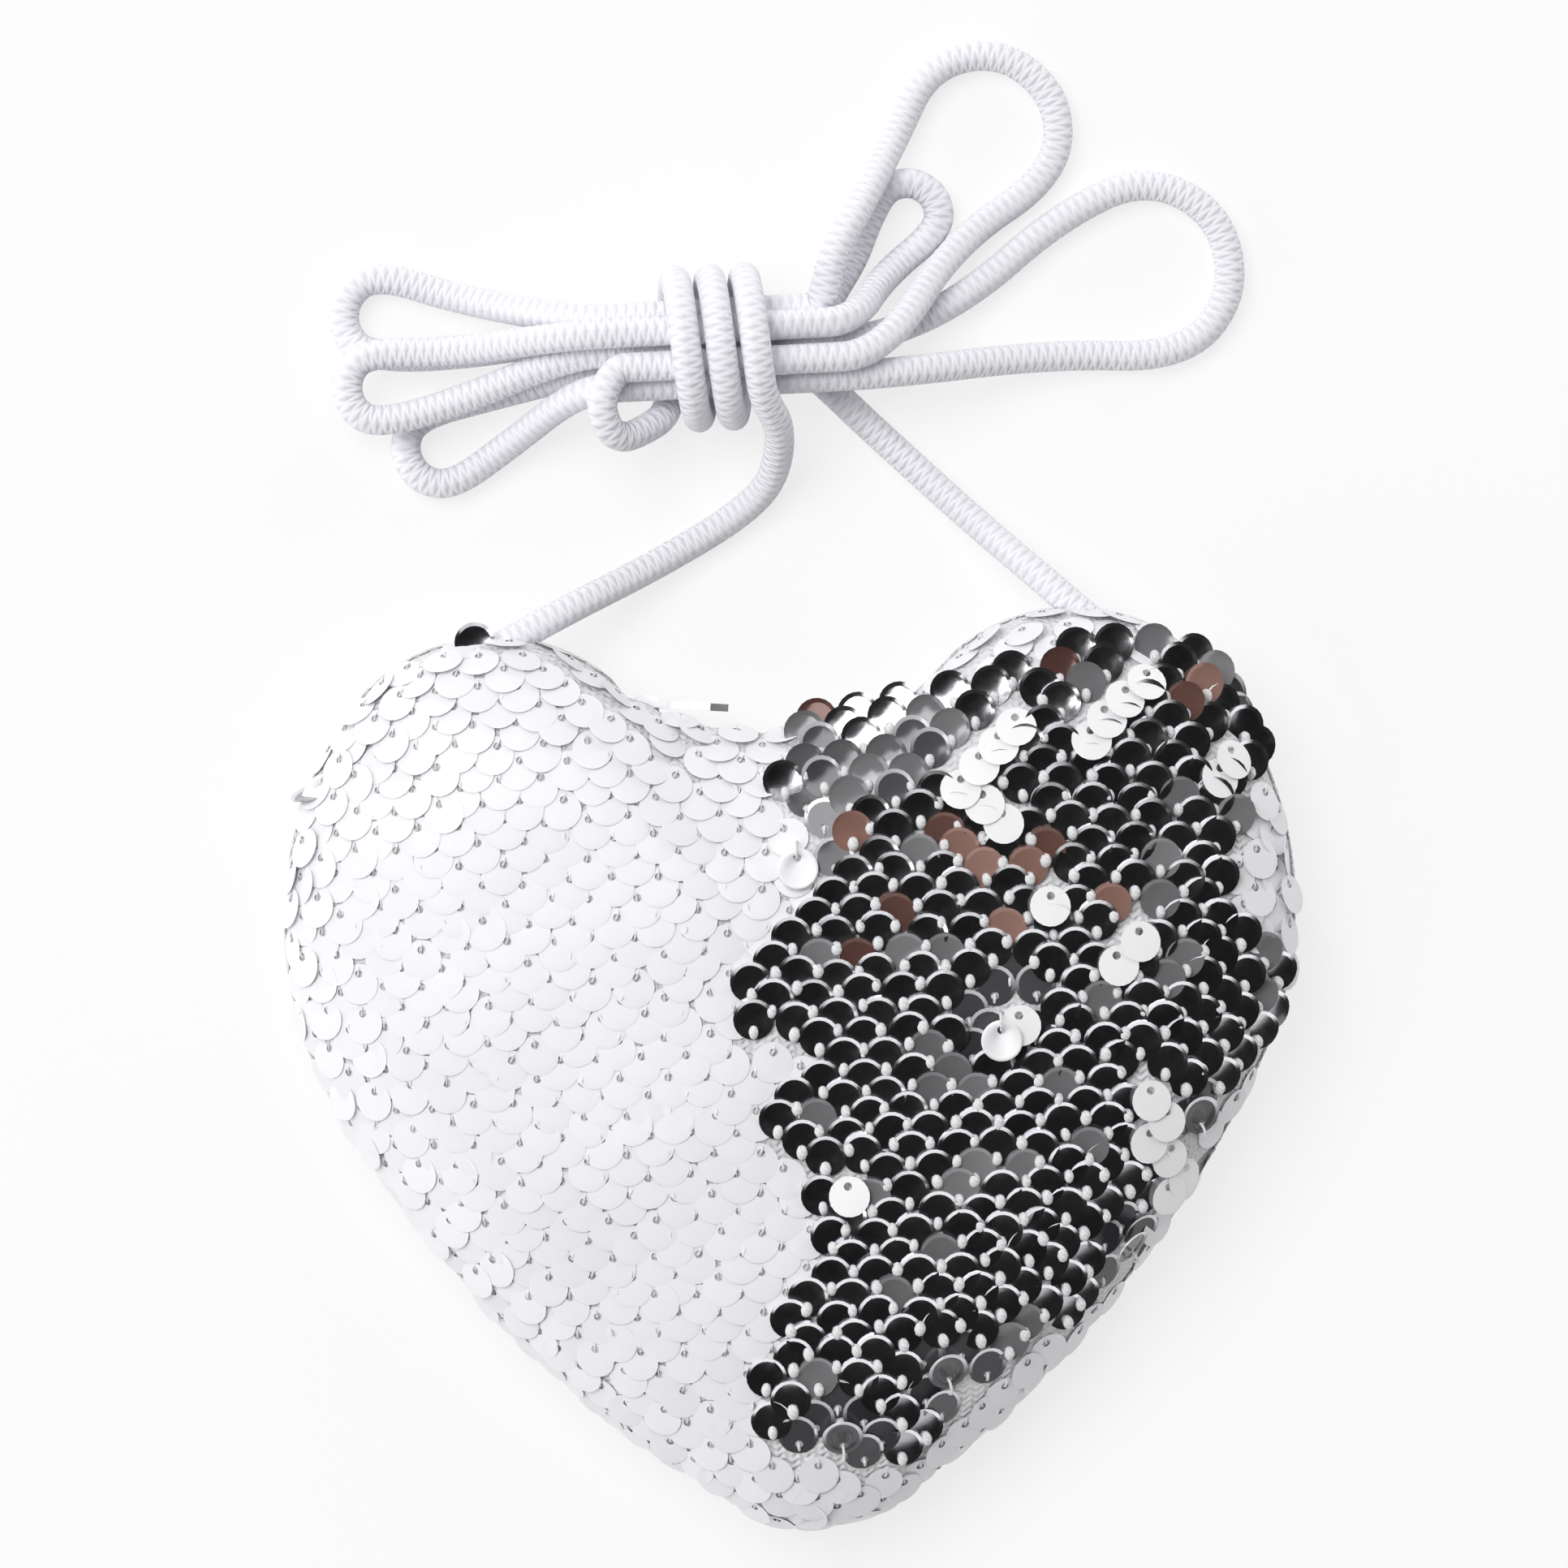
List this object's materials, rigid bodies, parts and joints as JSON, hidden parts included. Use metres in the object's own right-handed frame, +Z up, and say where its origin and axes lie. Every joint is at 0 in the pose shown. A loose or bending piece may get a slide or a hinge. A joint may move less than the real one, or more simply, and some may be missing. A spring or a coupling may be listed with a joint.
{
  "type": "heart shaped purse",
  "caption": "Small heart shaped purse of two-colour flip sequin cloth, zipped along the dip, with a thin braided cord strap gathered in a tied hank.",
  "frame": {"origin": "on the table under the middle of the heart, the purse lying on its back", "axes": "+Z up through the sequined front, +Y from the tip towards the lobes and the strap, +X to the right seen from the front"},
  "size_m": [0.1255, 0.1829, 0.0278],
  "materials": {
    "sequin_white": "satin white sequin film",
    "sequin_silver": "mirror silver sequin film",
    "cloth": "white knitted backing cloth",
    "lining": "white woven lining",
    "zip_tape": "white woven tape",
    "zip_teeth": "white moulded plastic",
    "zip_metal": "bright plated metal",
    "cord": "white braided cotton cord",
    "thread": "white sewing thread"
  },
  "bodies": {
    "purse": {"front_panel": "cloth", "front_lining": "lining", "back_panel": "cloth", "back_lining": "lining", "sequin_field_silver": "sequin_silver", "sequin_field_white": "sequin_white", "zip_tape_front": "zip_tape", "zip_tape_back": "zip_tape", "zip_teeth_front": "zip_teeth", "zip_teeth_back": "zip_teeth", "zip_top_stops": "zip_teeth", "zip_bottom_stop": "zip_teeth", "zip_end_tab_left": "cloth", "zip_end_tab_right": "cloth", "sequin_threads": "thread", "cord_hank": "cord", "cord_left_run": "cord", "cord_right_run": "cord", "cord_whipping_left": "thread", "cord_whipping_right": "thread"},
    "zip_slider": {"zip_slider": "zip_metal"},
    "zip_pull": {"zip_pull": "zip_metal"},
    "flip_sequin_1": {"flip_sequin_1": "sequin_silver"},
    "flip_sequin_2": {"flip_sequin_2": "sequin_silver"},
    "flip_sequin_3": {"flip_sequin_3": "sequin_silver"},
    "flip_sequin_4": {"flip_sequin_4": "sequin_silver"},
    "flip_sequin_5": {"flip_sequin_5": "sequin_white"},
    "flip_sequin_6": {"flip_sequin_6": "sequin_white"}
  },
  "joints": [
    {"name": "slider_travel", "type": "hinge", "parent": "purse", "child": "zip_slider", "pos_m": [0, 0.0797, 0.01], "axis": [0, 0, 1], "range_deg": [0, 52.12]},
    {"name": "pull_swing", "type": "hinge", "parent": "zip_slider", "child": "zip_pull", "pos_m": [-0.01621, 0.04655, 0.01], "axis": [0, 0, 1], "range_deg": [0, 140]},
    {"name": "sequin_turn_1", "type": "hinge", "parent": "purse", "child": "flip_sequin_1", "pos_m": [0.00316, -0.04594, 0.02108], "axis": [0.9981, 0.0344, -0.0516], "range_deg": [0, 165]},
    {"name": "sequin_turn_2", "type": "hinge", "parent": "purse", "child": "flip_sequin_2", "pos_m": [0.01641, -0.03858, 0.02065], "axis": [0.9538, 0.1604, -0.2539], "range_deg": [0, 165]},
    {"name": "sequin_turn_3", "type": "hinge", "parent": "purse", "child": "flip_sequin_3", "pos_m": [0.0397, -0.02405, 0.01623], "axis": [0.7654, 0.5489, -0.336], "range_deg": [0, 165]},
    {"name": "sequin_turn_4", "type": "hinge", "parent": "purse", "child": "flip_sequin_4", "pos_m": [0.04888, -0.00922, 0.01786], "axis": [0.9068, 0.1843, -0.3791], "range_deg": [0, 165]},
    {"name": "sequin_turn_5", "type": "hinge", "parent": "purse", "child": "flip_sequin_5", "pos_m": [0.00123, 0.02774, 0.0254], "axis": [-0.9997, -0.0021, -0.0255], "range_deg": [0, 165]},
    {"name": "sequin_turn_6", "type": "hinge", "parent": "purse", "child": "flip_sequin_6", "pos_m": [0.0249, 0.00561, 0.0266], "axis": [-1, 0, 0], "range_deg": [0, 165]}
  ]
}
